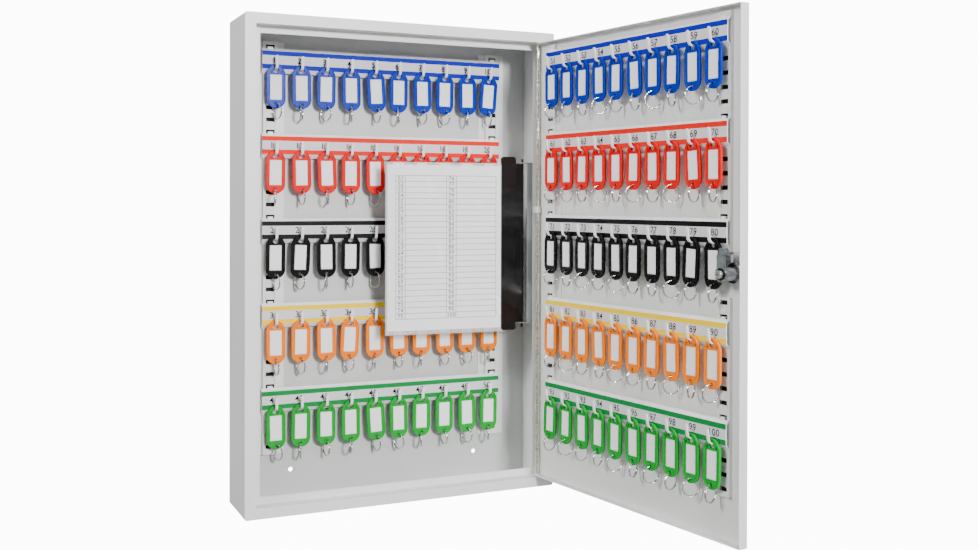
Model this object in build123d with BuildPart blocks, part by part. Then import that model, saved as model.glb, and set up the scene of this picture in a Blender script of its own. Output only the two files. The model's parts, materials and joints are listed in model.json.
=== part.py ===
from build123d import *
import os
from math import cos, sin, radians

os.makedirs("parts", exist_ok=True)

# Cabinet box: outside sizes, sheet and front frame section, in mm.
# Frame: origin in the middle of the back plane, +X right, front faces -Y, +Z up.
WIDTH = 376
HEIGHT = 550
DEPTH = 80
SHEET = 1
BEND_R = 2
FLANGE_W = 12
RETURN_DEEP = 17
STOP_W = 8
HALF_W = WIDTH / 2
HALF_H = HEIGHT / 2
STOP_BACK_Y = -DEPTH + RETURN_DEEP

# Wall fixing holes
HOLE_X = 117
HOLE_Z = 243
HOLE_R = 2.5

# Hinge and door, measured from the hinge axis: u towards the free edge, v towards the inside
PIVOT = (169, -75)
OPEN_ANGLE = 97.76
ROD_R = 2.0
ROD_END_Z = 265.5
RUN_GAP = 0.05
DOOR_U0 = -4.2
DOOR_U1 = 343.5
DOOR_Z = 261.8
DOOR_V0 = -5
DOOR_V1 = 6
LOCK_U = 328.4
LOCK_Z = 1.5
LOCK_HOLE_R = 7.3
PLUG_R = 5.0
CAM_V = 15
WASHER_V = 17.05

# Uprights, rails and number strips; e is the distance out from the panel they stand on
UPRIGHT_W = 17
UPRIGHT_E = 5
FOOT_W = 8.5
SLOT_PITCH = 14
SLOT_W = 10
SLOT_H = 4.4
ROW_PITCH = 98
ROWS = 5
RAIL_L = 300
STRIP_E0 = 9.5
STRIP_E1 = 10
STRIP_TOP = 5.2
STRIP_BOTTOM = -15.4
BAND_BODY = 238.0
BAND_DOOR = 242.4
BODY_RAIL_U0 = -153
DOOR_RAIL_U0 = 24.9
SLOT_ABOVE_BAND = 10.5
TAB_PLACES = {"body": (-142.5, 139.5), "door": (28.6, 316.5)}

# Hooks
HOOKS = 10
HOOK_PITCH = 30
HOOK_FIRST = 15
HOOK_W = 3.0
HOOK_T = 1.4
HOOK_BEND_R = 4.8
HOOK_RISE = 10
HOOK_LEAN = 80
HOOK_TIP = 11.2

# Key tags
TAG_TOP = -11
TAG_L = 50
TAG_W = 22.5
TAG_T = 3
TAG_E = 12.7
TAG_RIM = 3.2
RING_R = 8.95
WIRE_R = 0.55
RING_HOLE_R = 1.7
RING_HOLE_UP = 5
END_RING_SWAY = 14.5
SWAYED_RINGS = (("body", 0), ("body", 9), ("door", 9))
WINDOW_W = 14
WINDOW_L = 29
WINDOW_DOWN = 11.3

# Index holder, pivot in the row frame and the angle it leans into the cabinet
HOLDER_PIVOT = (157, -56)
HOLDER_LEAN = 4.5
PIN_R = 1.5
EAR_TOP = 117
EAR_LOW = -77


def rotated(angle):
    """Unit vector in the XY plane at an angle from +X."""
    return (cos(radians(angle)), sin(radians(angle)), 0)


# The door stands open at rest, so its own u and v axes are turned from the closed ones.
DOOR_U = rotated(180 + OPEN_ANGLE)
DOOR_V = rotated(90 + OPEN_ANGLE)


def body_point(across, out, up):
    return (across, -SHEET - out, up)


def door_point(across, out, up):
    in_v = DOOR_V0 + SHEET + out
    x = PIVOT[0] + DOOR_U[0] * across + DOOR_V[0] * in_v
    y = PIVOT[1] + DOOR_U[1] * across + DOOR_V[1] * in_v
    return (x, y, up)


def section_plane(side, across, up=0):
    """Plane across the rails: local x points out from the panel, local y points up."""
    if side == "body":
        return Plane(origin=body_point(across, 0, up), x_dir=(0, -1, 0), z_dir=(-1, 0, 0))
    back_along = (-DOOR_U[0], -DOOR_U[1], 0)
    return Plane(origin=door_point(across, 0, up), x_dir=DOOR_V, z_dir=back_along)


def face_plane(side, out, up=0):
    """Plane parallel to the panel: local x runs across, local y up, normal points out."""
    if side == "body":
        return Plane(origin=body_point(0, out, up), x_dir=(1, 0, 0), z_dir=(0, -1, 0))
    return Plane(origin=door_point(0, out, up), x_dir=DOOR_U, z_dir=DOOR_V)


def save(builder, label):
    builder.part.label = label
    export_step(builder.part, f"parts/{label}.step")


def rail_start(side):
    return BODY_RAIL_U0 if side == "body" else DOOR_RAIL_U0


def band(side, row):
    top = BAND_BODY if side == "body" else BAND_DOOR
    return top - ROW_PITCH * row


def hook_places(side):
    first = rail_start(side) + HOOK_FIRST
    return [first + HOOK_PITCH * n for n in range(HOOKS)]


# ---------------------------------------------------------------- cabinet box


def back_panel():
    with BuildPart() as panel:
        with BuildSketch(Plane.XZ):
            RectangleRounded(WIDTH - 2 * SHEET, HEIGHT - 2 * SHEET, BEND_R - SHEET)
            with GridLocations(2 * HOLE_X, 2 * HOLE_Z, 2, 2):
                Circle(HOLE_R, mode=Mode.SUBTRACT)
        extrude(amount=SHEET)
    save(panel, "back_panel")


def wall(label, corners, rod_z=None):
    """One folded side: the part of the whole front frame that lies between its two mitres."""
    inner = FLANGE_W
    outer_ret = FLANGE_W - SHEET
    opening = inner + STOP_W
    rod_cut = 3
    with BuildPart() as side:
        with BuildSketch(Plane.XZ):
            RectangleRounded(WIDTH, HEIGHT, BEND_R)
            RectangleRounded(
                WIDTH - 2 * SHEET,
                HEIGHT - 2 * SHEET,
                BEND_R - SHEET,
                mode=Mode.SUBTRACT,
            )
        extrude(amount=DEPTH)
        with BuildSketch(Plane.XZ.offset(DEPTH - SHEET)):
            RectangleRounded(WIDTH, HEIGHT, BEND_R)
            Rectangle(WIDTH - 2 * inner, HEIGHT - 2 * inner, mode=Mode.SUBTRACT)
        extrude(amount=SHEET)
        with BuildSketch(Plane.XZ.offset(DEPTH - RETURN_DEEP)):
            Rectangle(WIDTH - 2 * outer_ret, HEIGHT - 2 * outer_ret)
            Rectangle(WIDTH - 2 * inner, HEIGHT - 2 * inner, mode=Mode.SUBTRACT)
        extrude(amount=RETURN_DEEP)
        with BuildSketch(Plane.XZ.offset(DEPTH - RETURN_DEEP)):
            Rectangle(WIDTH - 2 * outer_ret, HEIGHT - 2 * outer_ret)
            Rectangle(WIDTH - 2 * opening, HEIGHT - 2 * opening, mode=Mode.SUBTRACT)
        extrude(amount=SHEET)
        with BuildSketch(Plane.XZ):
            with BuildLine():
                Polyline(*corners, close=True)
            make_face()
        extrude(amount=DEPTH, mode=Mode.INTERSECT)
        if rod_z:
            with BuildSketch(Plane.XY.offset(rod_z)):
                with Locations(PIVOT):
                    Circle(ROD_R + RUN_GAP)
            extrude(amount=rod_cut, both=True, mode=Mode.SUBTRACT)
    save(side, label)


def walls():
    reach = 100
    left = [
        (-HALF_W, -HALF_H),
        (-HALF_W, HALF_H),
        (-HALF_W + reach, HALF_H - reach),
        (-HALF_W + reach, -HALF_H + reach),
    ]
    top = [
        (-HALF_W, HALF_H),
        (HALF_W, HALF_H),
        (HALF_W - reach, HALF_H - reach),
        (-HALF_W + reach, HALF_H - reach),
    ]
    wall("left_wall", left)
    wall("right_wall", [(-x, z) for x, z in left])
    wall("top_wall", top, HALF_H - FLANGE_W)
    wall("bottom_wall", [(x, -z) for x, z in top], -HALF_H + FLANGE_W)


def hinge_rod():
    end_chamfer = 0.4
    with BuildPart() as rod:
        with BuildSketch(Plane.XY.offset(-ROD_END_Z)):
            with Locations(PIVOT):
                Circle(ROD_R)
        extrude(amount=2 * ROD_END_Z)
        chamfer(rod.edges().filter_by(GeomType.CIRCLE), end_chamfer)
    save(rod, "hinge_rod")


def hinge_lug():
    low = 57
    tall = 7
    knuckle_r = 3.6
    web_w = 3
    web_aside = 0.7
    web_x0 = PIVOT[0] - web_aside
    stop_front = STOP_BACK_Y - SHEET
    with BuildPart() as lug:
        with BuildSketch(Plane.XY.offset(low)):
            with Locations(PIVOT):
                Circle(knuckle_r)
            with BuildLine():
                Polyline(
                    (web_x0, PIVOT[1]),
                    (web_x0 + web_w, PIVOT[1]),
                    (web_x0 + web_w, stop_front),
                    (web_x0, stop_front),
                    close=True,
                )
            make_face()
            with Locations(PIVOT):
                Circle(ROD_R + RUN_GAP, mode=Mode.SUBTRACT)
        extrude(amount=tall)
    save(lug, "hinge_lug")


def index_bracket():
    web_x0 = 160.5
    web_x1 = 176
    web_back = STOP_BACK_Y + SHEET
    ear_r = 6.4
    ear_x1 = 168
    with BuildPart() as bracket:
        with BuildSketch(Plane.XY.offset(EAR_LOW - SHEET)):
            with BuildLine():
                Polyline(
                    (web_x0, STOP_BACK_Y),
                    (web_x1, STOP_BACK_Y),
                    (web_x1, web_back),
                    (web_x0, web_back),
                    close=True,
                )
            make_face()
        extrude(amount=EAR_TOP - EAR_LOW + 2 * SHEET)
        for low in (EAR_LOW - SHEET, EAR_TOP):
            with BuildSketch(Plane.XY.offset(low)):
                with BuildLine():
                    Polyline(
                        (HOLDER_PIVOT[0], HOLDER_PIVOT[1] - ear_r),
                        (ear_x1, HOLDER_PIVOT[1] - ear_r),
                        (ear_x1, HOLDER_PIVOT[1] + ear_r),
                        (HOLDER_PIVOT[0], HOLDER_PIVOT[1] + ear_r),
                        close=True,
                    )
                make_face()
                with Locations(HOLDER_PIVOT):
                    Circle(ear_r)
                    Circle(PIN_R + RUN_GAP, mode=Mode.SUBTRACT)
            extrude(amount=SHEET)
    save(bracket, "index_bracket")


# ------------------------------------------------- uprights, rails and strips


def slot_heights(side, low, high, gap):
    """Centres of the slots that fit between two heights, tied to the rail heights."""
    first = band(side, 0) + SLOT_ABOVE_BAND
    slots_above = 4
    slots_below = 40
    found = []
    for n in range(-slots_above, slots_below):
        height = first - SLOT_PITCH * n
        if low + gap < height < high - gap:
            found.append(height)
    return found


def upright(label, side, centre, low, high):
    """Hat-section upright: slotted face, two legs and two feet on the panel."""
    half = UPRIGHT_W / 2
    middle = (low + high) / 2
    tall = high - low
    slot_corner = 0.4
    cut_from = UPRIGHT_E - 1.5 * SHEET
    with BuildPart() as post:
        with BuildSketch(face_plane(side, 0, middle)):
            with Locations((centre, 0)):
                Rectangle(UPRIGHT_W, tall)
        extrude(amount=UPRIGHT_E)
        with BuildSketch(face_plane(side, 0, middle)):
            with Locations((centre, 0)):
                Rectangle(UPRIGHT_W - 2 * SHEET, tall)
        extrude(amount=UPRIGHT_E - SHEET, mode=Mode.SUBTRACT)
        with BuildSketch(face_plane(side, 0, middle)):
            for way in (-1, 1):
                with Locations((centre + way * (half - SHEET / 2 + FOOT_W / 2), 0)):
                    Rectangle(FOOT_W + SHEET, tall)
        extrude(amount=SHEET)
        with BuildSketch(face_plane(side, cut_from, 0)):
            for height in slot_heights(side, low, high, SLOT_H):
                with Locations((centre, height)):
                    RectangleRounded(SLOT_W, SLOT_H, slot_corner)
        extrude(amount=2 * SHEET, mode=Mode.SUBTRACT)
    save(post, label)


def uprights():
    body_low = -222.5
    body_high = 254.5
    door_low = -217
    door_high = 257
    lock_gap = 22
    hinge_side = 27
    lock_side = TAB_PLACES["door"][1]
    upright("body_upright_left", "body", TAB_PLACES["body"][0], body_low, body_high)
    upright("body_upright_right", "body", TAB_PLACES["body"][1], body_low, body_high)
    upright("door_upright_hinge_side", "door", hinge_side, door_low, door_high)
    upright("door_upright_lock_upper", "door", lock_side, lock_gap, door_high)
    upright("door_upright_lock_lower", "door", lock_side, door_low, -lock_gap)


def rail(side, row):
    """Folded key rail: bevelled channel, ten hooks and a tab at each end for the slots."""
    zb = band(side, row)
    start = rail_start(side)
    back = UPRIGHT_E
    front = STRIP_E0
    margin = 0.2
    top = STRIP_TOP + margin
    low = STRIP_BOTTOM - margin
    top_bevel = 3
    low_bevel = 4.4
    edge_w = 1.2
    inside = 0.5
    hook_root = (front - 0.9, low - 1.0)
    hook_knee = (front + 4.7, low + 0.05)
    tip_cut = 20
    tab_w = 6
    tab_t = 1
    tab_deep = 3
    tab_z = SLOT_ABOVE_BAND - 0.4
    tab_low = tab_z - tab_t / 2
    tab_high = tab_z + tab_t / 2
    with BuildPart() as channel:
        with BuildSketch(section_plane(side, start, zb)):
            with BuildLine():
                Polyline(
                    (back, top + top_bevel),
                    (front, top),
                    (front, low),
                    (back, low - low_bevel),
                    (back, low - low_bevel + edge_w),
                    (front - SHEET, low + inside),
                    (front - SHEET, top - inside),
                    (back, top + top_bevel - edge_w),
                    close=True,
                )
            make_face()
        extrude(amount=-RAIL_L)
        for place in hook_places(side):
            with BuildSketch(section_plane(side, place, zb)):
                with BuildLine() as path:
                    first = Line(hook_root, hook_knee)
                    bend = JernArc(
                        start=first @ 1,
                        tangent=first % 1,
                        radius=HOOK_BEND_R,
                        arc_size=HOOK_LEAN - HOOK_RISE,
                    )
                    Line(bend @ 1, bend @ 1 + (bend % 1) * HOOK_TIP)
                trace(line_width=HOOK_T)
            extrude(amount=HOOK_W / 2, both=True)
            tip_z = zb + (bend @ 1).Y + (bend % 1).Y * HOOK_TIP
            with BuildSketch(face_plane(side, front + tab_deep, tip_z)):
                with Locations((place, 0)):
                    Rectangle(2 * HOOK_W, 2 * HOOK_W)
                with Locations((place, -HOOK_W / 2)):
                    Circle(HOOK_W / 2, mode=Mode.SUBTRACT)
                    Rectangle(HOOK_W, HOOK_W, align=(Align.CENTER, Align.MAX), mode=Mode.SUBTRACT)
            extrude(amount=tip_cut, mode=Mode.SUBTRACT)
        for place in TAB_PLACES[side]:
            with BuildSketch(section_plane(side, place, zb)):
                with BuildLine():
                    Polyline(
                        (back + tab_t, top + tab_t),
                        (back + tab_t, tab_high),
                        (back - tab_deep, tab_high),
                        (back - tab_deep, tab_low),
                        (back, tab_low),
                        (back, top + tab_t),
                        close=True,
                    )
                make_face()
            extrude(amount=tab_w / 2, both=True)
    return channel.part


def rails(side):
    """All five rails of one side, kept as separate solids in one file."""
    pieces = [rail(side, row) for row in range(ROWS)]
    group = Compound(label=f"{side}_rails", children=pieces)
    export_step(group, f"parts/{side}_rails.step")


def label_strips(side):
    middle = rail_start(side) + RAIL_L / 2
    with BuildPart() as strips:
        for row in range(ROWS):
            centre = band(side, row) + (STRIP_TOP + STRIP_BOTTOM) / 2
            with BuildSketch(face_plane(side, STRIP_E0, centre)):
                with Locations((middle, 0)):
                    Rectangle(RAIL_L, STRIP_TOP - STRIP_BOTTOM)
            extrude(amount=STRIP_E1 - STRIP_E0)
    save(strips, f"{side}_label_strips")


# ----------------------------------------------------------------------- door


def door_axes(v=0.0, z=0.0):
    """Plane parallel to the door panel at a depth v, local x along -u, local y up."""
    return face_plane("door", v - DOOR_V0 - SHEET, z)


def door_panel():
    length = DOOR_U1 - DOOR_U0
    middle = (DOOR_U0 + DOOR_U1) / 2
    corner_u = -2.4
    corner_v = 4.2
    with BuildPart() as pan:
        with BuildSketch(door_axes(DOOR_V0)):
            with Locations((middle, 0)):
                Rectangle(length, 2 * DOOR_Z)
        extrude(amount=SHEET)
        for z_low in (-DOOR_Z, DOOR_Z - SHEET):
            lip = Plane(origin=(*PIVOT, z_low), x_dir=DOOR_U, z_dir=(0, 0, 1))
            with BuildSketch(lip):
                with BuildLine():
                    Polyline(
                        (DOOR_U0, -DOOR_V0),
                        (DOOR_U1, -DOOR_V0),
                        (DOOR_U1, -DOOR_V1),
                        (corner_u, -DOOR_V1),
                        (DOOR_U0, -corner_v),
                        close=True,
                    )
                make_face()
                Circle(ROD_R + RUN_GAP, mode=Mode.SUBTRACT)
            extrude(amount=SHEET)
        with BuildSketch(door_axes(DOOR_V0)):
            with Locations((DOOR_U1 - SHEET / 2, 0)):
                Rectangle(SHEET, 2 * DOOR_Z)
        extrude(amount=DOOR_V1 - DOOR_V0)
        with BuildSketch(door_axes(DOOR_V0 - 1)):
            with Locations((LOCK_U, LOCK_Z)):
                Circle(LOCK_HOLE_R)
        extrude(amount=3, mode=Mode.SUBTRACT)
    save(pan, "door_panel")


def lock_barrel():
    """Flanged barrel with a coarse thread, two flats and a bore for the plug."""
    head_v = -7.5
    head_r = 9.5
    head_chamfer = 0.6
    end_v = 14.6
    thread_r = 7.25
    root_r = 6.85
    plain_l = 5.6
    first_turn_v = 1.1
    turns = 11
    pitch = 1.2
    flat_half = 6.3
    flat_depth = 4
    near_outside = (400, -400, 0)
    with BuildPart() as barrel:
        with BuildSketch(door_axes(head_v)):
            with Locations((LOCK_U, LOCK_Z)):
                Circle(head_r)
        extrude(amount=DOOR_V0 - head_v)
        rims = barrel.edges().filter_by(GeomType.CIRCLE).sort_by_distance(near_outside)
        chamfer(rims[0], head_chamfer)
        with BuildSketch(door_axes(DOOR_V0)):
            with Locations((LOCK_U, LOCK_Z)):
                Circle(root_r)
        extrude(amount=end_v - DOOR_V0)
        with BuildSketch(door_axes(DOOR_V0)):
            with Locations((LOCK_U, LOCK_Z)):
                Circle(thread_r)
        extrude(amount=plain_l)
        for turn in range(turns):
            with BuildSketch(door_axes(first_turn_v + pitch * turn)):
                with Locations((LOCK_U, LOCK_Z)):
                    Circle(thread_r)
            extrude(amount=pitch / 2)
        with BuildSketch(door_axes(0)):
            for way in (-1, 1):
                with Locations((LOCK_U, LOCK_Z + way * (flat_half + flat_depth / 2))):
                    Rectangle(3 * thread_r, flat_depth)
        extrude(amount=2 * end_v, mode=Mode.SUBTRACT)
        with BuildSketch(door_axes(head_v)):
            with Locations((LOCK_U, LOCK_Z)):
                Circle(PLUG_R + RUN_GAP)
        extrude(amount=end_v - head_v, mode=Mode.SUBTRACT)
    save(barrel, "lock_barrel")


def lock_nut():
    """Round ring nut with a rolled rim and two spanner notches."""
    nut_r = 11.25
    rim_round = 1.6
    dish_r = 9
    dish_depth = 1.4
    notch_w = 3
    inside = -DOOR_V0 - SHEET
    row_centre = (0, 0, 0)
    with BuildPart() as nut:
        with BuildSketch(door_axes(-inside)):
            with Locations((LOCK_U, LOCK_Z)):
                Circle(nut_r)
        extrude(amount=inside)
        rim = nut.edges().filter_by(GeomType.CIRCLE).sort_by_distance(row_centre)[0]
        fillet(rim, rim_round)
        with BuildSketch(door_axes(-dish_depth)):
            with Locations((LOCK_U, LOCK_Z)):
                Circle(dish_r)
        extrude(amount=2 * dish_depth, mode=Mode.SUBTRACT)
        with BuildSketch(door_axes(-inside)):
            with Locations((LOCK_U, LOCK_Z)):
                Circle(LOCK_HOLE_R)
        extrude(amount=inside, mode=Mode.SUBTRACT)
        with BuildSketch(door_axes(-dish_depth)):
            with Locations((LOCK_U, LOCK_Z)):
                Rectangle(3 * nut_r, notch_w)
        extrude(amount=2 * dish_depth, mode=Mode.SUBTRACT)
    save(nut, "lock_nut")


def lock_plug():
    """Turning core with a keyway, a square tail for the cam and a tapped hole."""
    face_v = -7.7
    shoulder_v = 14.8
    square = 6
    square_l = 2.1
    key_w = 1.6
    key_h = 7
    key_depth = 9
    tap_r = 2
    tap_depth = 8
    with BuildPart() as plug:
        with BuildSketch(door_axes(face_v)):
            with Locations((LOCK_U, LOCK_Z)):
                Circle(PLUG_R)
        extrude(amount=shoulder_v - face_v)
        with BuildSketch(door_axes(shoulder_v)):
            with Locations((LOCK_U, LOCK_Z)):
                Rectangle(square, square)
        extrude(amount=square_l)
        with BuildSketch(door_axes(face_v)):
            with Locations((LOCK_U, LOCK_Z)):
                Rectangle(key_w, key_h)
        extrude(amount=key_depth, mode=Mode.SUBTRACT)
        with BuildSketch(door_axes(shoulder_v + square_l)):
            with Locations((LOCK_U, LOCK_Z)):
                Circle(tap_r)
        extrude(amount=-tap_depth, mode=Mode.SUBTRACT)
    save(plug, "lock_plug")


def lock_cam():
    """Flat cam with a jogged tip, pointing up while unlocked."""
    thick = 2
    jog = 2.4
    boss_r = 7.8
    arm_w = 10.6
    arm_l = 18.5
    square = 6.1
    tip_w = 13
    tip_l = 9
    tip_up = 21
    tip_aside = 1.2
    tip_r = 3
    low_v = CAM_V - jog
    with BuildPart() as cam:
        with BuildSketch(door_axes(CAM_V)):
            with Locations((LOCK_U, LOCK_Z)):
                Circle(boss_r)
            with Locations((LOCK_U, LOCK_Z + arm_l / 2)):
                Rectangle(arm_w, arm_l)
            with Locations((LOCK_U, LOCK_Z)):
                Rectangle(square, square, mode=Mode.SUBTRACT)
        extrude(amount=thick)
        with BuildSketch(door_axes(low_v)):
            with Locations((LOCK_U, LOCK_Z + arm_l - thick / 2)):
                Rectangle(arm_w, thick)
        extrude(amount=jog + thick)
        with BuildSketch(door_axes(low_v)):
            with Locations((LOCK_U + tip_aside, LOCK_Z + tip_up)):
                RectangleRounded(tip_w, tip_l, tip_r)
            with Locations((LOCK_U, LOCK_Z + arm_l)):
                Rectangle(arm_w, 2 * thick)
        extrude(amount=thick)
    save(cam, "lock_cam")


def star_washer():
    teeth = 12
    outer_r = 5.9
    gap_ring_r = 6.1
    gap_r = 0.75
    bore_r = 2.1
    thick = 0.7
    with BuildPart() as washer:
        with BuildSketch(door_axes(WASHER_V)):
            with Locations((LOCK_U, LOCK_Z)):
                Circle(outer_r)
                with PolarLocations(gap_ring_r, teeth):
                    Circle(gap_r, mode=Mode.SUBTRACT)
                Circle(bore_r, mode=Mode.SUBTRACT)
        extrude(amount=thick)
    save(washer, "star_washer")


def cam_screw():
    """Round head with a cross recess and a plain shank."""
    seat_v = WASHER_V + 0.7
    head_r = 4.5
    head_h = 2.5
    head_taper = 12
    shank_r = 1.95
    shank_l = 8
    cross_l = 5.4
    cross_w = 1
    cross_depth = 1.4
    with BuildPart() as screw:
        with BuildSketch(door_axes(seat_v)):
            with Locations((LOCK_U, LOCK_Z)):
                Circle(head_r)
        extrude(amount=head_h, taper=head_taper)
        with BuildSketch(door_axes(seat_v)):
            with Locations((LOCK_U, LOCK_Z)):
                Circle(shank_r)
        extrude(amount=-shank_l)
        with BuildSketch(door_axes(seat_v + head_h)):
            with Locations((LOCK_U, LOCK_Z)):
                Rectangle(cross_l, cross_w)
                Rectangle(cross_w, cross_l)
        extrude(amount=-cross_depth, mode=Mode.SUBTRACT)
    save(screw, "cam_screw")


# --------------------------------------------------------------- index holder


HOLDER_ALONG = (-cos(radians(HOLDER_LEAN)), sin(radians(HOLDER_LEAN)), 0)
HOLDER_OUT = (-sin(radians(HOLDER_LEAN)), -cos(radians(HOLDER_LEAN)), 0)
SPINE_OUTER = 27.2


def holder_plane(z):
    """Level plane at the holder's pivot: local x runs along the holder towards its free edge."""
    return Plane(origin=(*HOLDER_PIVOT, z), x_dir=HOLDER_ALONG, z_dir=(0, 0, 1))


def holder_spine():
    """Flat plastic spine with two pivot pins and a slot along its edge for the sleeve."""
    thick = 3.5
    inner = 8.8
    low = -86
    high = 125
    corner_r = 3
    gap = 0.3
    neck_reach = inner + 3
    neck_tall = EAR_TOP - EAR_LOW - 2 * gap
    pin_below = 6
    pin_above = 5.5
    pin_chamfer = 0.5
    slot_deep = 6
    slot_w = 1.1
    face = Plane(origin=(*HOLDER_PIVOT, (low + high) / 2), x_dir=HOLDER_ALONG, z_dir=HOLDER_OUT)
    with BuildPart() as spine:
        with BuildSketch(face):
            with Locations(((inner + SPINE_OUTER) / 2, 0)):
                RectangleRounded(SPINE_OUTER - inner, high - low, corner_r)
        extrude(amount=thick / 2, both=True)
        with BuildSketch(holder_plane(EAR_LOW + gap)):
            with Locations((neck_reach / 2, 0)):
                Rectangle(neck_reach, thick)
            Circle(thick / 2)
        extrude(amount=neck_tall)
        with BuildSketch(holder_plane(EAR_LOW - pin_below)):
            Circle(PIN_R)
        extrude(amount=EAR_TOP - EAR_LOW + pin_below + pin_above)
        circles = spine.edges().filter_by(GeomType.CIRCLE)
        pin_ends = circles.filter_by(lambda e: abs(e.radius - PIN_R) < RUN_GAP).sort_by(Axis.Z)
        chamfer(pin_ends[0], pin_chamfer)
        chamfer(pin_ends[-1], pin_chamfer)
        with BuildSketch(holder_plane(low - 1)):
            with Locations((SPINE_OUTER + 1 - (slot_deep + 1) / 2, 0)):
                Rectangle(slot_deep + 1, slot_w)
        extrude(amount=high - low + 2, mode=Mode.SUBTRACT)
    save(spine, "holder_spine")


def sleeve():
    """Clear pocket, open at the top, with its edge held in the spine."""
    inner = SPINE_OUTER - 5.1
    outer = 172.8
    low = -88
    high = 117
    thick = 1.0
    hollow = 0.4
    seam = 2
    foot_seam = 4
    mouth = SPINE_OUTER + 0.1
    with BuildPart() as pocket:
        with BuildSketch(holder_plane(low)):
            with Locations(((inner + outer) / 2, 0)):
                Rectangle(outer - inner, thick)
        extrude(amount=high - low)
        with BuildSketch(holder_plane(low + foot_seam)):
            with Locations(((mouth + outer - seam) / 2, 0)):
                Rectangle(outer - seam - mouth, hollow)
        extrude(amount=high - low, mode=Mode.SUBTRACT)
    save(pocket, "sleeve")


def index_sheet():
    low = -82.5
    width = 142.5
    tall = 196
    thick = 0.3
    near_edge = SPINE_OUTER + 0.5
    with BuildPart() as sheet:
        with BuildSketch(holder_plane(low)):
            with Locations((near_edge + width / 2, 0)):
                Rectangle(width, thick)
        extrude(amount=tall)
    save(sheet, "index_sheet")


# ------------------------------------------------------------------- key tags


def ring_turn(side, row, n):
    """How far a ring is turned from square to its tag, in degrees."""
    turns = (20, -22, 24, -16, 8, -24, 12, 22, -20, 4)
    shift = 3 * row + (0 if side == "body" else 5)
    turn = turns[(n + shift) % HOOKS]
    return turn / 4 if (side, n) == ("door", 0) else turn


def tag_outline():
    """Tag with a full round foot and a narrower arched head, top edge at y = 0."""
    half = TAG_W / 2
    head_x = 6.3
    head_y = -1.8
    bulge_x = 9.6
    bulge_y = -5.3
    shoulder = -11.5
    foot = -TAG_L + half
    with BuildSketch() as outline:
        with BuildLine():
            Line((-half, foot), (-half, shoulder))
            ThreePointArc((-half, shoulder), (-bulge_x, bulge_y), (-head_x, head_y))
            ThreePointArc((-head_x, head_y), (0, 0), (head_x, head_y))
            ThreePointArc((head_x, head_y), (bulge_x, bulge_y), (half, shoulder))
            Line((half, shoulder), (half, foot))
            ThreePointArc((half, foot), (0, -TAG_L), (-half, foot))
        make_face()
    return outline.sketch


def tag_mouth():
    """D-shaped hanging hole, its top at y = 0."""
    half = 3.5
    spring = -3.4
    side_end = -5.4
    foot = -7.5
    foot_half = 1.5
    with BuildSketch() as mouth:
        with BuildLine():
            ThreePointArc((-half, spring), (0, 0), (half, spring))
            Polyline(
                (half, spring),
                (half, side_end),
                (foot_half, foot),
                (-foot_half, foot),
                (-half, side_end),
                (-half, spring),
            )
        make_face()
    return mouth.sketch


def tag_nicks():
    """Shallow triangular recesses beside the hanging hole."""
    inner = 5.2
    outer = 8.2
    top = -7.0
    foot = -9.6
    with BuildSketch() as nicks:
        for way in (-1, 1):
            with BuildLine():
                Polyline((way * inner, top), (way * outer, foot), (way * inner, foot), close=True)
            make_face()
    return nicks.sketch


def tags(side, row):
    """Ten tags of one row: frames, paper inserts and rings, one file for each kind."""
    top = band(side, row) + TAG_TOP
    floor_e = TAG_E - TAG_T / 2
    window_floor = 1
    insert_t = 1.6
    nick_depth = 0.8
    window_mid = -WINDOW_DOWN - WINDOW_L / 2
    hole_z = -TAG_L + RING_HOLE_UP
    spots = [(place, 0) for place in hook_places(side)]
    outline = tag_outline()
    mouth = tag_mouth()
    nicks = tag_nicks()
    with BuildPart() as frames:
        with BuildSketch(face_plane(side, floor_e, top)):
            with Locations(*spots):
                add(outline)
            with Locations(*[(x, hole_z) for x, _ in spots]):
                Circle(RING_HOLE_R, mode=Mode.SUBTRACT)
            with Locations(*[(x, -TAG_RIM) for x, _ in spots]):
                add(mouth, mode=Mode.SUBTRACT)
        extrude(amount=TAG_T)
        with BuildSketch(face_plane(side, floor_e + window_floor, top)):
            with Locations(*[(x, window_mid) for x, _ in spots]):
                Rectangle(WINDOW_W, WINDOW_L)
        extrude(amount=TAG_T, mode=Mode.SUBTRACT)
        with BuildSketch(face_plane(side, floor_e + TAG_T - nick_depth, top)):
            with Locations(*spots):
                add(nicks)
        extrude(amount=TAG_T, mode=Mode.SUBTRACT)
    save(frames, f"{side}_tag_frames_{row + 1}")

    with BuildPart() as inserts:
        with BuildSketch(face_plane(side, floor_e + window_floor, top)):
            with Locations(*[(x, window_mid) for x, _ in spots]):
                Rectangle(WINDOW_W, WINDOW_L)
        extrude(amount=insert_t)
    save(inserts, f"{side}_tag_inserts_{row + 1}")

    out = DOOR_V if side == "door" else (0, -1, 0)
    point = door_point if side == "door" else body_point
    with BuildPart() as rings:
        for n, place in enumerate(hook_places(side)):
            turn = radians(ring_turn(side, row, n))
            sway = radians(END_RING_SWAY if (side, n) in SWAYED_RINGS else 0)
            centre = point(place, TAG_E, top + hole_z)
            flat = (
                out[0] * cos(turn) - out[1] * sin(turn),
                out[0] * sin(turn) + out[1] * cos(turn),
                0,
            )
            drop = RING_R * cos(sway)
            push = RING_R * sin(sway)
            middle = (centre[0] + flat[0] * push, centre[1] + flat[1] * push, centre[2] - drop)
            normal = (-flat[1], flat[0], 0)
            with Locations(Plane(origin=middle, x_dir=flat, z_dir=normal)):
                Torus(RING_R, WIRE_R)
    save(rings, f"{side}_tag_rings_{row + 1}")


back_panel()
walls()
hinge_rod()
hinge_lug()
index_bracket()
uprights()
for face in ("body", "door"):
    rails(face)
    label_strips(face)
    for level in range(ROWS):
        tags(face, level)
door_panel()
lock_barrel()
lock_nut()
lock_plug()
lock_cam()
star_washer()
cam_screw()
holder_spine()
sleeve()
index_sheet()
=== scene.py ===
import json
import math

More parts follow.
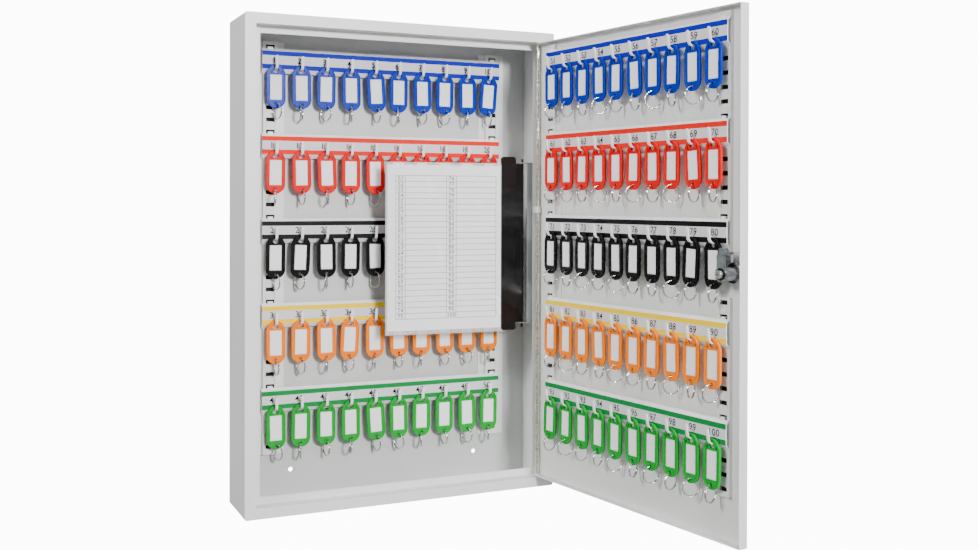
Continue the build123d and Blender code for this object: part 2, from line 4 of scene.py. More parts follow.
import bmesh
import bpy
from mathutils import Matrix, Vector


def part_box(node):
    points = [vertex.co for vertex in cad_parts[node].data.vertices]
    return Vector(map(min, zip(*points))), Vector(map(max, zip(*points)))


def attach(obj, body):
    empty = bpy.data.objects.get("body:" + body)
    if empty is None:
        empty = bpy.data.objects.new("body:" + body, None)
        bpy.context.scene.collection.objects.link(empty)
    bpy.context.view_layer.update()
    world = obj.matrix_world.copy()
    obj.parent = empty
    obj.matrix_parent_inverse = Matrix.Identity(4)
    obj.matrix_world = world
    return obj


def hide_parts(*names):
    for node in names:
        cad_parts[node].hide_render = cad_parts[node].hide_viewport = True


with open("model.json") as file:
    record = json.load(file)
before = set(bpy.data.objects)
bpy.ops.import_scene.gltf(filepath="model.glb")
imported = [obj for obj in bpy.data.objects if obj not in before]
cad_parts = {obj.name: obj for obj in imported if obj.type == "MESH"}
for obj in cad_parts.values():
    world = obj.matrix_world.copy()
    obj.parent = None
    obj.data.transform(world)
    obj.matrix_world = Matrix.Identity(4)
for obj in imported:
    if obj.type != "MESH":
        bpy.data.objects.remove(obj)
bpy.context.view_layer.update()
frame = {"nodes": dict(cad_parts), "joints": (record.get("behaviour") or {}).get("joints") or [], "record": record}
MM = 0.001
NODES = frame["nodes"]

# ------------------------------------------------------------------ node helpers


class Graph:
    """A material's node tree with short calls for adding and joining nodes."""

    def __init__(self, name):
        self.material = bpy.data.materials.new(name)
        self.material.use_nodes = True
        self.tree = self.material.node_tree
        self.shader = self.tree.nodes["Principled BSDF"]
        self.coords = self.add("ShaderNodeTexCoord").outputs["Object"]

    def add(self, kind, **settings):
        node = self.tree.nodes.new(kind)
        for key, value in settings.items():
            setattr(node, key, value)
        return node

    def put(self, node, socket, value):
        if isinstance(value, bpy.types.NodeSocket):
            self.tree.links.new(value, node.inputs[socket])
        else:
            node.inputs[socket].default_value = value

    def noise(self, scale, detail=3.0, rough=0.5, vector=None):
        node = self.add("ShaderNodeTexNoise")
        self.put(node, "Vector", vector or self.coords)
        self.put(node, "Scale", scale)
        self.put(node, "Detail", detail)
        self.put(node, "Roughness", rough)
        return node.outputs["Fac"]

    def spread(self, value, low, high, start=0.0, end=1.0):
        node = self.add("ShaderNodeMapRange")
        self.put(node, "Value", value)
        self.put(node, "From Min", start)
        self.put(node, "From Max", end)
        self.put(node, "To Min", low)
        self.put(node, "To Max", high)
        return node.outputs["Result"]

    def blend_colours(self, factor, first, second):
        node = self.add("ShaderNodeMix", data_type="RGBA")
        self.put(node, 0, factor)
        self.put(node, 6, first)
        self.put(node, 7, second)
        return node.outputs[2]

    def bump(self, height, strength, distance):
        node = self.add("ShaderNodeBump")
        self.put(node, "Strength", strength)
        self.put(node, "Distance", distance)
        self.put(node, "Height", height)
        return node.outputs["Normal"]


def rgb(r, g, b):
    """Linear colour from display values of 0 to 255."""

    def linear(value):
        v = value / 255
        return v / 12.92 if v <= 0.04045 else ((v + 0.055) / 1.055) ** 2.4

    return (linear(r), linear(g), linear(b), 1.0)


def tinted(colour, factor):
    return (colour[0] * factor, colour[1] * factor, colour[2] * factor, 1.0)


# --------------------------------------------------------------------- materials


def powder_coat(name, colour, rough=0.42):
    """Stoved powder paint: fine orange peel, faint cloudiness and uneven gloss."""
    g = Graph(name)
    cloud = g.noise(9, 2)
    tone = g.blend_colours(g.spread(cloud, 0, 1, 0.35, 0.65), tinted(colour, 0.975), tinted(colour, 1.02))
    g.put(g.shader, "Base Color", tone)
    g.put(g.shader, "Roughness", g.spread(g.noise(60, 3), rough - 0.05, rough + 0.06))
    g.put(g.shader, "Specular IOR Level", 0.5)
    peel = g.noise(900, 2, 0.6)
    g.put(g.shader, "Normal", g.bump(peel, 0.25, 0.00012))
    return g.material


def metal(name, colour, rough, brushed=0.0):
    """Plated or drawn metal with fine scratches and smudges."""
    g = Graph(name)
    smudge = g.noise(180, 4, 0.6)
    tone = g.blend_colours(smudge, tinted(colour, 0.86), tinted(colour, 1.08))
    g.put(g.shader, "Base Color", tone)
    g.put(g.shader, "Metallic", 1.0)
    g.put(g.shader, "Roughness", g.spread(smudge, rough - 0.06, rough + 0.1))
    scale = g.add("ShaderNodeMapping")
    g.put(scale, "Vector", g.coords)
    g.put(scale, "Scale", (1, 1, 30) if brushed else (1, 1, 1))
    lines = g.noise(1500, 2, 0.7, scale.outputs["Vector"])
    g.put(g.shader, "Normal", g.bump(lines, 0.15 + brushed, 0.00003))
    return g.material


def plastic(name, colour, rough=0.26, wave=0.2, shine=0.1):
    """Moulded plastic: soft flow marks, uneven gloss and a gentle wave."""
    g = Graph(name)
    flow = g.noise(70, 3, 0.5)
    tone = g.blend_colours(flow, tinted(colour, 0.85), tinted(colour, 1.12))
    g.put(g.shader, "Base Color", tone)
    g.put(g.shader, "Roughness", g.spread(g.noise(400, 3), rough - 0.05, rough + 0.08))
    g.put(g.shader, "Specular IOR Level", shine)
    g.put(g.shader, "Normal", g.bump(flow, wave, 0.0004))
    return g.material


def paper(name, colour, rough=0.6):
    """Card or paper: faint fibres and a slight cloud."""
    g = Graph(name)
    fibre = g.noise(1400, 4, 0.7)
    tone = g.blend_colours(fibre, tinted(colour, 0.95), tinted(colour, 1.02))
    g.put(g.shader, "Base Color", tone)
    g.put(g.shader, "Roughness", g.spread(fibre, rough - 0.05, rough + 0.08))
    g.put(g.shader, "Specular IOR Level", 0.1)
    g.put(g.shader, "Normal", g.bump(fibre, 0.1, 0.00005))
    return g.material


def clear_film(name):
    """Thin clear film: mostly transparent, with a glossy wavy skin."""
    g = Graph(name)
    wave = g.noise(14, 2)
    normal = g.bump(wave, 0.6, 0.004)
    g.put(g.shader, "Base Color", g.blend_colours(wave, (0.86, 0.88, 0.9, 1), (0.95, 0.96, 0.97, 1)))
    g.put(g.shader, "Roughness", g.spread(g.noise(90, 3), 0.06, 0.16))
    g.put(g.shader, "Alpha", 0.2)
    g.put(g.shader, "Specular IOR Level", 0.9)
    g.put(g.shader, "Normal", normal)
    return g.material


MATERIALS = {
    "cabinet_paint": powder_coat("cabinet_paint", rgb(226, 228, 226)),
    "door_paint": powder_coat("door_paint", rgb(232, 234, 231)),
    # Near white, lighter than the cabinet paint: partly the rails' own white paint, partly a painted highlight
    # standing in for the light the bevels catch.
    "rail_paint": powder_coat("rail_paint", rgb(250, 251, 251), 0.25),
    "rod_steel": metal("rod_steel", rgb(232, 226, 208), 0.25, 0.3),
    # Dark grey: painted shade, standing in for the shade the holder's spine casts on the bracket's web.
    "bracket_steel": powder_coat("bracket_steel", rgb(120, 124, 124), 0.35),
    "lock_chrome": metal("lock_chrome", rgb(205, 208, 212), 0.2),
    "cam_steel": metal("cam_steel", rgb(158, 170, 172), 0.22, 0.2),
    "screw_steel": metal("screw_steel", rgb(205, 203, 198), 0.25),
    "black_plastic": plastic("black_plastic", rgb(14, 14, 15), 0.14, 0.2, 0.25),
    "clear_film": clear_film("clear_film"),
    "paper": paper("paper", rgb(254, 253, 254)),
    "label_card": paper("label_card", rgb(216, 215, 218), 0.45),
    "tag_card": paper("tag_card", rgb(250, 250, 252), 0.4),
    "ring_wire": metal("ring_wire", rgb(212, 212, 210), 0.16),
    "tag_blue": plastic("tag_blue", rgb(4, 44, 168)),
    "tag_red": plastic("tag_red", rgb(222, 4, 8)),
    "tag_black": plastic("tag_black", rgb(10, 10, 11)),
    "tag_orange": plastic("tag_orange", rgb(250, 128, 0)),
    "tag_green": plastic("tag_green", rgb(0, 158, 48)),
    "strip_blue": paper("strip_blue", rgb(8, 30, 170), 0.5),
    "strip_red": paper("strip_red", rgb(232, 30, 14), 0.5),
    "strip_black": paper("strip_black", rgb(12, 12, 13), 0.35),
    "strip_yellow": paper("strip_yellow", rgb(252, 214, 0), 0.35),
    "strip_green": paper("strip_green", rgb(0, 132, 60), 0.35),
    "ink": paper("ink", rgb(22, 22, 25), 0.5),
    "ink_line": paper("ink_line", rgb(26, 26, 30), 0.5),
    # Painted shade: a darker copy of the cabinet paint for the back panel, standing in for the shade inside the
    # cabinet.
    "back_panel_painted_shade": powder_coat("back_panel_painted_shade", rgb(196, 199, 197)),
    "hook_steel": powder_coat("hook_steel", rgb(244, 244, 242), 0.25),
    "black_oxide": metal("black_oxide", rgb(24, 25, 26), 0.35),
    # Near black: painted shade for the insides of the upright channels.
    "channel_painted_shade": powder_coat("channel_painted_shade", rgb(14, 14, 14), 0.7),
}

slots = {s["node"]: s["material_slot"] for s in frame["record"]["subparts"]}
for node_name, node in NODES.items():
    node.data.materials.clear()
    node.data.materials.append(MATERIALS[slots[node_name]])
# The back panel takes the darker copy of the cabinet paint, its painted shade.
NODES["back_panel"].data.materials[0] = MATERIALS["back_panel_painted_shade"]
NODES["star_washer"].data.materials[0] = MATERIALS["black_oxide"]

SOFT_EDGES = {
    "left_wall": 0.5,
    "right_wall": 0.5,
    "top_wall": 0.5,
    "bottom_wall": 0.5,
    "door_panel": 0.45,
    "body_upright_left": 0.25,
    "body_upright_right": 0.25,
    "door_upright_hinge_side": 0.25,
    "door_upright_lock_upper": 0.25,
    "door_upright_lock_lower": 0.25,
    "body_rails": 0.3,
    "door_rails": 0.3,
    "holder_spine": 0.5,
    "index_bracket": 0.2,
    "hinge_lug": 0.3,
    "lock_nut": 0.2,
    "lock_cam": 0.5,
    "cam_screw": 0.2,
}


def soften(node_name, width):
    """Joins the mesh's split edges and rounds its sharp ones a little."""
    node = NODES[node_name]
    weld = node.modifiers.new("weld", "WELD")
    weld.merge_threshold = 0.000002
    bevel = node.modifiers.new("bevel", "BEVEL")
    bevel.width = width * MM
    bevel.segments = 2
    bevel.limit_method = "ANGLE"
    bevel.angle_limit = math.radians(40)
    bevel.use_clamp_overlap = True
    bevel.harden_normals = True


for node_name, width in SOFT_EDGES.items():
    soften(node_name, width)

# ------------------------------------------------------------------ mesh helpers


def new_object(name, mesh, body, *mats):
    thing = bpy.data.objects.new(name, mesh)
    bpy.context.scene.collection.objects.link(thing)
    for mat in mats:
        mesh.materials.append(mat)
    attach(thing, body)
    return thing


def mesh_from(builder, name):
    mesh = bpy.data.meshes.new(name)
    builder.normal_update()
    builder.to_mesh(mesh)
    builder.free()
    return mesh


def add_box(bm, low, high, matrix=None, index=0):
    """Adds a closed box between two corners, in mm, placed by matrix."""
    matrix = matrix or Matrix.Identity(4)
    xs, ys, zs = zip(low, high)
    spots = [(x, y, z) for x in xs for y in ys for z in zs]
    verts = [bm.verts.new(matrix @ (Vector(s) * MM)) for s in spots]
    sides = ((0, 1, 3, 2), (4, 6, 7, 5), (0, 4, 5, 1), (2, 3, 7, 6), (0, 2, 6, 4), (1, 5, 7, 3))
    for side in sides:
        face = bm.faces.new([verts[i] for i in side])
        face.material_index = index


def arc(centre, radius, start, end, steps):
    """Points along an arc, in degrees."""
    points = []
    for n in range(steps + 1):
        angle = math.radians(start + (end - start) * n / steps)
        points.append((centre[0] + radius * math.cos(angle), centre[1] + radius * math.sin(angle)))
    return points


def circle(centre, radius, steps=20):
    return arc(centre, radius, 0, 360, steps)[:-1]


def welded(mesh):
    """Joins the walls and caps of a mesh made from a curve."""
    bm = bmesh.new()
    bm.from_mesh(mesh)
    bmesh.ops.remove_doubles(bm, verts=bm.verts, dist=0.000001)
    bm.to_mesh(mesh)
    bm.free()
    return mesh


def plate(name, loops, low, high, edge=0.0):
    """Closed plate with holes, in mm: first loop is the outline and the rest are holes."""
    curve = bpy.data.curves.new(name, "CURVE")
    curve.dimensions = "2D"
    curve.fill_mode = "BOTH"
    curve.extrude = ((high - low) / 2 - edge) * MM
    curve.bevel_depth = edge * MM
    curve.bevel_resolution = 2 if edge else 0
    curve.offset = -edge * MM
    for loop in loops:
        spline = curve.splines.new("POLY")
        spline.points.add(len(loop) - 1)
        for point, (x, y) in zip(spline.points, loop):
            point.co = (x * MM, y * MM, 0, 1)
        spline.use_cyclic_u = True
    carrier = bpy.data.objects.new(name, curve)
    bpy.context.scene.collection.objects.link(carrier)
    bpy.context.view_layer.update()
    graph = bpy.context.evaluated_depsgraph_get()
    mesh = bpy.data.meshes.new_from_object(carrier.evaluated_get(graph))
    bpy.data.objects.remove(carrier)
    mesh.transform(Matrix.Translation((0, 0, (low + high) / 2 * MM)))
    return welded(mesh)


def words(text, height, thick=0.03, bold=0.012):
    """Printed lettering as a mesh, its middle at the origin, digits of this height in mm."""
    digit_share = 0.62
    curve = bpy.data.curves.new("words", "FONT")
    curve.body = text
    curve.size = height / digit_share * MM
    curve.space_character = 1.08
    curve.offset = height * bold * MM
    curve.align_x = "CENTER"
    curve.align_y = "CENTER"
    curve.extrude = thick / 2 * MM
    curve.resolution_u = 3
    carrier = bpy.data.objects.new("words", curve)
    bpy.context.scene.collection.objects.link(carrier)
    bpy.context.view_layer.update()
    graph = bpy.context.evaluated_depsgraph_get()
    mesh = bpy.data.meshes.new_from_object(carrier.evaluated_get(graph))
    bpy.data.objects.remove(carrier)
    return welded(mesh)


def joined(name, parts):
    """One mesh from (mesh, matrix, material index) triples."""
    bm = bmesh.new()
    for mesh, matrix, index in parts:
        start = len(bm.verts)
        faces = len(bm.faces)
        bm.from_mesh(mesh)
        bm.verts.ensure_lookup_table()
        bm.faces.ensure_lookup_table()
        for vert in bm.verts[start:]:
            vert.co = matrix @ vert.co
        for face in bm.faces[faces:]:
            face.material_index = index
    return mesh_from(bm, name)


def tube(points, radius, sides):
    """Round wire through points in mm, with capped ends, as a mesh."""
    bm = bmesh.new()
    rings = []
    last = len(points) - 1
    for n, spot in enumerate(points):
        before = Vector(points[max(n - 1, 0)])
        after = Vector(points[min(n + 1, last)])
        along = (after - before).normalized()
        side = along.cross(Vector((0, 0, 1)))
        if side.length < 0.05:
            side = along.cross(Vector((1, 0, 0)))
        side.normalize()
        other = side.cross(along)
        ring = []
        for k in range(sides):
            angle = 2 * math.pi * k / sides
            offset = side * math.cos(angle) * radius + other * math.sin(angle) * radius
            ring.append(bm.verts.new((Vector(spot) + offset) * MM))
        rings.append(ring)
    for first, second in zip(rings, rings[1:]):
        for k in range(sides):
            bm.faces.new((first[k], second[k], second[(k + 1) % sides], first[(k + 1) % sides]))
    bm.faces.new(list(reversed(rings[0])))
    bm.faces.new(rings[-1])
    bmesh.ops.recalc_face_normals(bm, faces=bm.faces)
    for face in bm.faces:
        face.smooth = True
    return mesh_from(bm, "tube")


# -------------------------------------------------------------------- tag rows

ROWS = 5
HOOKS = 10
PITCH = 30
STRIP_HALF = 150
BAND_UP = 14.2
PRINT_LIFT = 0.02
ROW_COLOURS = ("blue", "red", "black", "orange", "green")
STRIP_COLOURS = ("blue", "red", "black", "yellow", "green")
JOINTS = {j["name"]: j for j in frame["joints"]}


def row_frame(side, row):
    """Matrix at the middle of a row's hook line: X along the row, Y up, Z out from the panel."""
    joint = JOINTS[f"{side}_tags_{row + 1}_swing"]
    across = -Vector(joint["axis"])
    up = Vector((0, 0, 1))
    out = across.cross(up)
    turn = Matrix((across, up, out)).transposed()
    return Matrix.Translation(joint["pos_m"]) @ turn.to_4x4()


def hook_x(n):
    return -STRIP_HALF + PITCH / 2 + PITCH * n


def label_strips(side):
    """Printed strips: white number band between two coloured edges."""
    body = "cabinet" if side == "body" else "door"
    front = -2.7
    back = -3.2
    top = BAND_UP + 5.2
    edge = 5.2
    strip_w = 20.6
    low = top - strip_w
    number_drop = 5.4
    number_tall = 6.2
    shift = -1.3 if side == "body" else -1.2
    for row in range(ROWS):
        place = row_frame(side, row)
        bm = bmesh.new()
        add_box(bm, (-STRIP_HALF, top - edge, back), (STRIP_HALF, top, front), place, 1)
        add_box(bm, (-STRIP_HALF, low + edge, back), (STRIP_HALF, top - edge, front), place, 0)
        add_box(bm, (-STRIP_HALF, low, back), (STRIP_HALF, low + edge, front), place, 1)
        colour = MATERIALS[f"strip_{STRIP_COLOURS[row]}"]
        mesh = mesh_from(bm, f"{side}_strip_{row + 1}")
        strip = new_object(f"{side}_strip_{row + 1}", mesh, body, MATERIALS["label_card"], colour)
        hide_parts(f"{side}_label_strips")
        first = (1 if side == "body" else 51) + HOOKS * row
        digits = []
        for n in range(HOOKS):
            spot = Vector((hook_x(n) + shift, BAND_UP - number_drop, front + PRINT_LIFT)) * MM
            digits.append((words(str(first + n), number_tall), place @ Matrix.Translation(spot), 0))
        mesh = joined(f"{side}_numbers_{row + 1}", digits)
        numbers = new_object(f"{side}_numbers_{row + 1}", mesh, body, MATERIALS["ink"])


TAG_FOOT = -38.75
RING_HOLE = (0, -45)
RING_HOLE_R = 1.7
WINDOW = (-7, -40.3, 7, -11.3)


def tag_outline(inset=0.0):
    """Round foot, straight sides and full shoulders up to a narrower head, its top at y = 0."""
    half = 11.25 - inset
    middle = -11.5
    squash = (-middle - inset) / half
    loop = arc((0, TAG_FOOT), half, 180, 360, 18)
    for x, y in arc((0, 0), half, 0, 180, 20):
        lift = min(1, abs(y) / half)
        narrow = 1 - 0.13 * math.sin(math.pi * lift) * lift
        loop.append((x * narrow, middle + y * squash))
    return loop


def tag_mouth(grow=0.0):
    """D-shaped hanging hole."""
    half = 3.5 + grow
    flat = 1.5 + grow * 0.5
    shoulder = -7.6
    foot = -9.2 - grow
    loop = arc((0, -6.7), half, 0, 180, 12)
    return loop + [(-half, shoulder), (-flat, foot), (flat, foot), (half, shoulder)]


def rectangle(x0, y0, x1, y1):
    return [(x0, y0), (x1, y0), (x1, y1), (x0, y1)]


def tag_frame_mesh():
    """Key tag: back plate, raised outer rim, raised frame round the window, bosses round the holes."""
    window = rectangle(*WINDOW)
    ring_hole = circle(RING_HOLE, RING_HOLE_R)
    nicks = [[(w * 5.0, -10.1), (w * 8.6, -10.1), (w * 5.9, -6.2)] for w in (-1, 1)]
    layers = [
        plate("back", [tag_outline(0.25), tag_mouth(), ring_hole], -1.5, -0.5, 0.25),
        plate("core", [tag_outline(0.5), tag_mouth(), ring_hole, window] + nicks, -0.6, 0.75, 0.0),
        plate("face", [tag_outline(0.9), tag_mouth(), ring_hole, window] + nicks, 0.6, 1.05, 0.1),
        plate("rim", [tag_outline(0), tag_outline(1.7)], -1.2, 1.5, 0.4),
        plate("mouth_rim", [tag_mouth(1.15), tag_mouth()], -0.6, 1.4, 0.2),
        plate("window_rim", [rectangle(-8.0, -41.3, 8.0, -10.3), window], 0.5, 1.3, 0.15),
        plate("boss", [circle(RING_HOLE, RING_HOLE_R + 1), ring_hole], 0.4, 1.3, 0.15),
    ]
    return joined("tag", [(layer, Matrix.Identity(4), 0) for layer in layers])


def card_mesh():
    """White card under a clear cover whose edges slope down to the window's rim."""
    slope = 0.9
    bm = bmesh.new()
    rims = []
    for inset, height in ((0, -0.5), (0, 0.35), (slope, 0.95)):
        x0, y0, x1, y1 = WINDOW
        corners = rectangle(x0 + inset, y0 + inset, x1 - inset, y1 - inset)
        rims.append([bm.verts.new(Vector((x, y, height)) * MM) for x, y in corners])
    for low, high in zip(rims, rims[1:]):
        for n in range(4):
            bm.faces.new((low[n], low[(n + 1) % 4], high[(n + 1) % 4], high[n]))
    bm.faces.new(list(reversed(rims[0])))
    bm.faces.new(rims[-1])
    return mesh_from(bm, "card")


def ring_mesh():
    """Split ring: two close turns of wire, with stepped ends, hanging below the tag's foot."""
    radius = 8.95
    wire = 0.5
    turn_pitch = 1.04
    start = -70
    step_from = 0.88
    step_long = 0.24
    steps = 84
    points = []
    for n in range(steps + 1):
        turn = 2 * n / steps
        angle = math.radians(start + 360 * turn)
        step = min(max((turn - step_from) / step_long, 0), 1)
        smooth = step * step * (3 - 2 * step)
        out = radius * math.sin(angle)
        drop = -radius + radius * math.cos(angle)
        points.append((turn_pitch * (smooth - 0.5), drop, out))
    return tube(points, wire, 7)


# Turn of each ring about the upright line, and the tags that hang a little askew, in degrees
RING_TURNS = (20, -22, 24, -16, 8, -24, 12, 22, -20, 4)
TAG_TILTS = {4: 3.0, 9: -4.0, 12: 2.0, 21: -2.5, 33: -3.0, 44: 3.5}
TAG_TILTS.update({55: 2.0, 68: 3.5, 78: -2.5, 83: 3.0, 90: -2.0})


def tag_rows(side):
    """Five rows of ten tags; the end rings sway forward, clear of the uprights."""
    frames = tag_frame_mesh()
    cards = card_mesh()
    rings = ring_mesh()
    hang = 3.2
    end_sway = -14.5
    for row in range(ROWS):
        place = row_frame(side, row)
        spots = {"frames": [], "inserts": [], "rings": []}
        for n in range(HOOKS):
            count = n + HOOKS * row + (0 if side == "body" else 50)
            tilt = Matrix.Rotation(math.radians(TAG_TILTS.get(count, 0.9 * math.sin(count * 2.4))), 4, "Z")
            base = place @ Matrix.Translation(Vector((hook_x(n), 0, 0)) * MM) @ tilt
            base = base @ Matrix.Translation(Vector((0, hang, 0)) * MM)
            shift = 3 * row + (0 if side == "body" else 5)
            turn = RING_TURNS[(n + shift) % HOOKS]
            hole = Matrix.Translation(Vector((*RING_HOLE, 0)) * MM)
            swing = Matrix.Rotation(math.radians(turn), 4, "Y")
            sway = Matrix.Identity(4)
            if (side, n) in (("body", 0), ("body", 9), ("door", 9)):
                sway = Matrix.Rotation(math.radians(end_sway), 4, "X")
            if (side, n) == ("door", 0):
                swing = Matrix.Rotation(math.radians(turn / 4), 4, "Y")
            spots["frames"].append((frames, base, 0))
            spots["inserts"].append((cards, base, 0))
            spots["rings"].append((rings, base @ hole @ tilt.inverted() @ swing @ sway, 0))
        looks = {"frames": f"tag_{ROW_COLOURS[row]}", "inserts": "tag_card", "rings": "ring_wire"}
        for kind, parts in spots.items():
            name = f"{side}_{kind}_{row + 1}"
            mesh = joined(name, parts)
            piece = new_object(name, mesh, f"{side}_tags_{row + 1}", MATERIALS[looks[kind]])
            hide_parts(f"{side}_tag_{kind}_{row + 1}")
            if kind == "rings":
                for face in mesh.polygons:
                    face.use_smooth = True


# ---------------------------------------------------------------- index holder


def holder_frame():
    """Matrix of the holder: X from the free edge to the pivot, Y up, Z towards the user."""
    pivot = Vector(JOINTS["holder_swing"]["pos_m"])
    lean = math.radians(4.5)
    inward = Vector((math.cos(lean), -math.sin(lean), 0))
    up = Vector((0, 0, 1))
    out = inward.cross(up)
    turn = Matrix((inward, up, out)).transposed()
    return Matrix.Translation((pivot.x, pivot.y, 0)) @ turn.to_4x4()


SHEET_LEFT = -170.2
SHEET_RIGHT = -27.7


def index_table():
    """Two-column number table printed on both sides of the sheet."""
    place = holder_frame()
    low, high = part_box("index_sheet")
    left = SHEET_LEFT + 10.2
    right = SHEET_RIGHT - 6.4
    top = high.z / MM - 12.5
    foot = low.z / MM + 13.7
    rows = 25
    pitch = (top - foot) / rows
    marks = (left, left + 11.8, left + 62.8, left + 75, right)
    middle = (SHEET_LEFT + SHEET_RIGHT) / 2
    turned = Matrix.Translation((middle * MM, 0, 0)) @ Matrix.Rotation(math.pi, 4, "Y")
    turned = turned @ Matrix.Translation((-middle * MM, 0, 0))
    skin = 0.15
    line_half = 0.28
    digit_tall = 4.3
    for side, first, face in (("front", 51, place), ("back", 1, place @ turned)):
        bm = bmesh.new()
        for n in range(rows + 1):
            z = top - pitch * n
            add_box(bm, (left, z - line_half, skin), (right, z + line_half, skin + PRINT_LIFT), face)
        for x in marks:
            add_box(bm, (x - line_half, foot, skin), (x + line_half, top, skin + 0.03), face)
        lines = new_object(f"table_lines_{side}", mesh_from(bm, side), "holder", MATERIALS["ink_line"])
        digits = []
        for n in range(rows):
            columns = ((first, (marks[0] + marks[1]) / 2), (first + rows, (marks[2] + marks[3]) / 2))
            for start, x in columns:
                spot = Vector((x, top - pitch * (n + 0.5), skin + PRINT_LIFT)) * MM
                number = words(str(start + n), digit_tall, 0.03, 0.04)
                digits.append((number, face @ Matrix.Translation(spot), 0))
        mesh = joined(f"table_numbers_{side}", digits)
        numbers = new_object(f"table_numbers_{side}", mesh, "holder", MATERIALS["ink"])


def film_layer(bm, side, thickness=0.12):
    """One wavy film of the sleeve as a closed shell with a serrated lower edge."""
    place = holder_frame()
    left = -172.7
    right = -22.3
    low = -87
    high = 117
    across = 104
    tall = 56

    def spot(i, j, depth):
        x = left + (right - left) * i / across
        z = low + (high - low) * j / tall
        wave = 0.62 + 0.3 * math.sin((x + 0.6 * z) / 13) * math.sin(z / 23 + 1)
        wave += 0.12 * math.sin(x / 5 + z / 31)
        near = min(1, (x - left) / 4, (z - low) / 4 + 0.1, (right - x) / 6 + 0.3)
        out = 0.2 + (wave - 0.2) * max(near, 0)
        if j == 0 and i % 2:
            z -= 1.0
        return place @ (Vector((x, z, side * (out - depth))) * MM)

    skins = []
    for depth in (0, thickness):
        skins.append([[bm.verts.new(spot(i, j, depth)) for j in range(tall + 1)] for i in range(across + 1)])
    outer, inner = skins
    for i in range(across):
        for j in range(tall):
            for skin in skins:
                bm.faces.new((skin[i][j], skin[i + 1][j], skin[i + 1][j + 1], skin[i][j + 1]))
        for j in (0, tall):
            bm.faces.new((outer[i][j], outer[i + 1][j], inner[i + 1][j], inner[i][j]))
    for j in range(tall):
        for i in (0, across):
            bm.faces.new((outer[i][j], outer[i][j + 1], inner[i][j + 1], inner[i][j]))


def sleeve():
    """Clear pocket of two films, closed along the free edge and the serrated foot."""
    bm = bmesh.new()
    film_layer(bm, 1)
    film_layer(bm, -1)
    bmesh.ops.recalc_face_normals(bm, faces=bm.faces)
    for face in bm.faces:
        face.smooth = True
    film = new_object("sleeve_films", mesh_from(bm, "sleeve_films"), "holder", MATERIALS["clear_film"])
    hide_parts("sleeve")


def hook_faces(side):
    """Gives the hooks, the faces of a rail node that stand out past its strips, a bright finish."""
    mesh = NODES[f"{side}_rails"].data
    mesh.materials.append(MATERIALS["hook_steel"])
    inverse = row_frame(side, 0).inverted()
    past_strip = -2.6 * MM
    for face in mesh.polygons:
        if (inverse @ face.center).z > past_strip:
            face.material_index = 1


# Middle of each slotted upright along its row, in mm
CHANNELS = {
    "body_upright_left": -139.5,
    "body_upright_right": 142.5,
    "door_upright_hinge_side": -146.3,
    "door_upright_lock_upper": 141.6,
    "door_upright_lock_lower": 141.6,
}


def painted_shade_strips():
    """Painted shade: dark strips behind the uprights' slots, standing in for the shade inside the channels."""
    panel = -12.7
    half = 6.5
    short = 1.5
    for node_name, x in CHANNELS.items():
        side = node_name.split("_")[0]
        place = row_frame(side, 0)
        low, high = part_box(node_name)
        base = place.translation.z / MM
        foot = low.z / MM - base + short
        head = high.z / MM - base - short
        bm = bmesh.new()
        add_box(bm, (x - half, foot, panel + 0.05), (x + half, head, panel + 0.4), place)
        name = node_name.replace("upright", "shade_strip")
        body = "cabinet" if side == "body" else "door"
        shade_strip = new_object(name, mesh_from(bm, name), body, MATERIALS["channel_painted_shade"])


for side in ("body", "door"):
    hook_faces(side)
painted_shade_strips()
for build in (label_strips, tag_rows):
    for side in ("body", "door"):
        build(side)
index_table()
sleeve()

# --------------------------------------------------------- camera, light and floor


def camera():
    """Camera at the photograph's viewing angle."""
    yaw = math.radians(24.83)
    pitch = math.radians(-0.386)
    roll = math.radians(0.144)
    forward = Vector((math.sin(yaw) * math.cos(pitch), math.cos(yaw) * math.cos(pitch), math.sin(pitch)))
    right = Vector((math.cos(yaw), -math.sin(yaw), 0))
    up = right.cross(forward)
    across = right * math.cos(roll) + up * math.sin(roll)
    upright = up * math.cos(roll) - right * math.sin(roll)
    data = bpy.data.cameras.new("camera")
    data.sensor_width = 36
    data.lens = 41.04
    data.shift_x = 0.0009
    data.shift_y = -0.0688
    data.clip_start = 0.01
    eye = bpy.data.objects.new("camera", data)
    turn = Matrix((across, upright, -forward)).transposed()
    eye.matrix_world = Matrix.Translation((-0.45447, -1.27882, 0.07207)) @ turn.to_4x4()
    bpy.context.scene.collection.objects.link(eye)
    bpy.context.scene.camera = eye


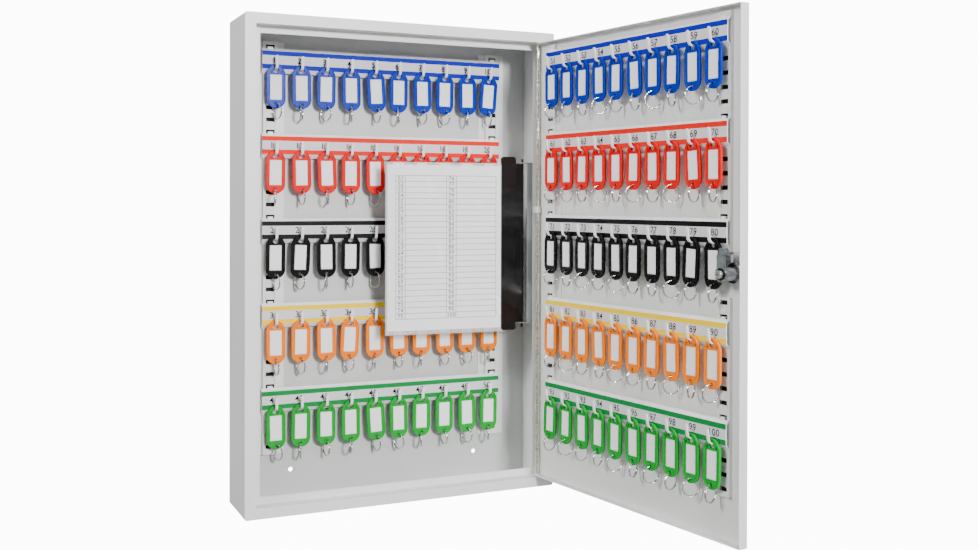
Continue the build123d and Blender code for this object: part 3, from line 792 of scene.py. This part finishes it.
def soft_light(name, place, target, size, power):
    """Rectangular light at place, aimed at target, both in metres."""
    data = bpy.data.lights.new(name, "AREA")
    data.shape = "RECTANGLE"
    data.size = size[0]
    data.size_y = size[1]
    data.energy = power
    lamp = bpy.data.objects.new(name, data)
    lamp.location = place
    aim = Vector(target) - Vector(place)
    lamp.rotation_euler = aim.to_track_quat("-Z", "Y").to_euler()
    bpy.context.scene.collection.objects.link(lamp)


def sweep():
    """Pale floor with a round upright wall, seen by the camera only, so the light stays even."""
    radius = 9
    wall = 8
    steps = 64
    floor_z = -0.9
    corners = [Vector((radius * x, radius * y, floor_z)) for x, y in circle((0, 0), 1, steps)]
    bm = bmesh.new()
    low = [bm.verts.new(c) for c in corners]
    high = [bm.verts.new(c + Vector((0, 0, wall))) for c in corners]
    bm.faces.new(low)
    for n in range(steps):
        after = (n + 1) % steps
        bm.faces.new((low[n], low[after], high[after], high[n]))
    floor = bpy.data.objects.new("floor", mesh_from(bm, "floor"))
    bpy.context.scene.collection.objects.link(floor)
    g = Graph("floor_paint")
    cloud = g.noise(0.8, 2)
    g.put(g.shader, "Base Color", g.blend_colours(cloud, (0.9, 0.9, 0.9, 1), (0.94, 0.94, 0.94, 1)))
    g.put(g.shader, "Roughness", 0.8)
    g.put(g.shader, "Emission Color", (1, 1, 1, 1))
    g.put(g.shader, "Emission Strength", 12)
    floor.data.materials.append(g.material)
    for ray in ("diffuse", "glossy", "transmission", "shadow"):
        setattr(floor, f"visible_{ray}", False)


def studio():
    """Low even light, a frontal softbox a little to the right, one on the left, and weak fills."""
    world = bpy.data.worlds.new("world")
    world.use_nodes = True
    back = world.node_tree.nodes["Background"]
    back.inputs["Color"].default_value = (1, 1, 1, 1)
    back.inputs["Strength"].default_value = 0.36
    bpy.context.scene.world = world
    soft_light("key", (0.3, -2.78, 0.72), (0.05, 0, 0), (0.4, 0.4), 98)
    soft_light("low", (0.2, -1.7, -1.5), (0, 0, 0), (0.9, 0.3), 4)
    soft_light("top", (0.15, -1.25, 1.7), (0, 0, 0.05), (1.2, 0.4), 12)
    soft_light("side", (-2.5, -0.75, 1.25), (0.1, -0.2, 0), (0.6, 0.8), 66)
    sweep()


camera()
studio()
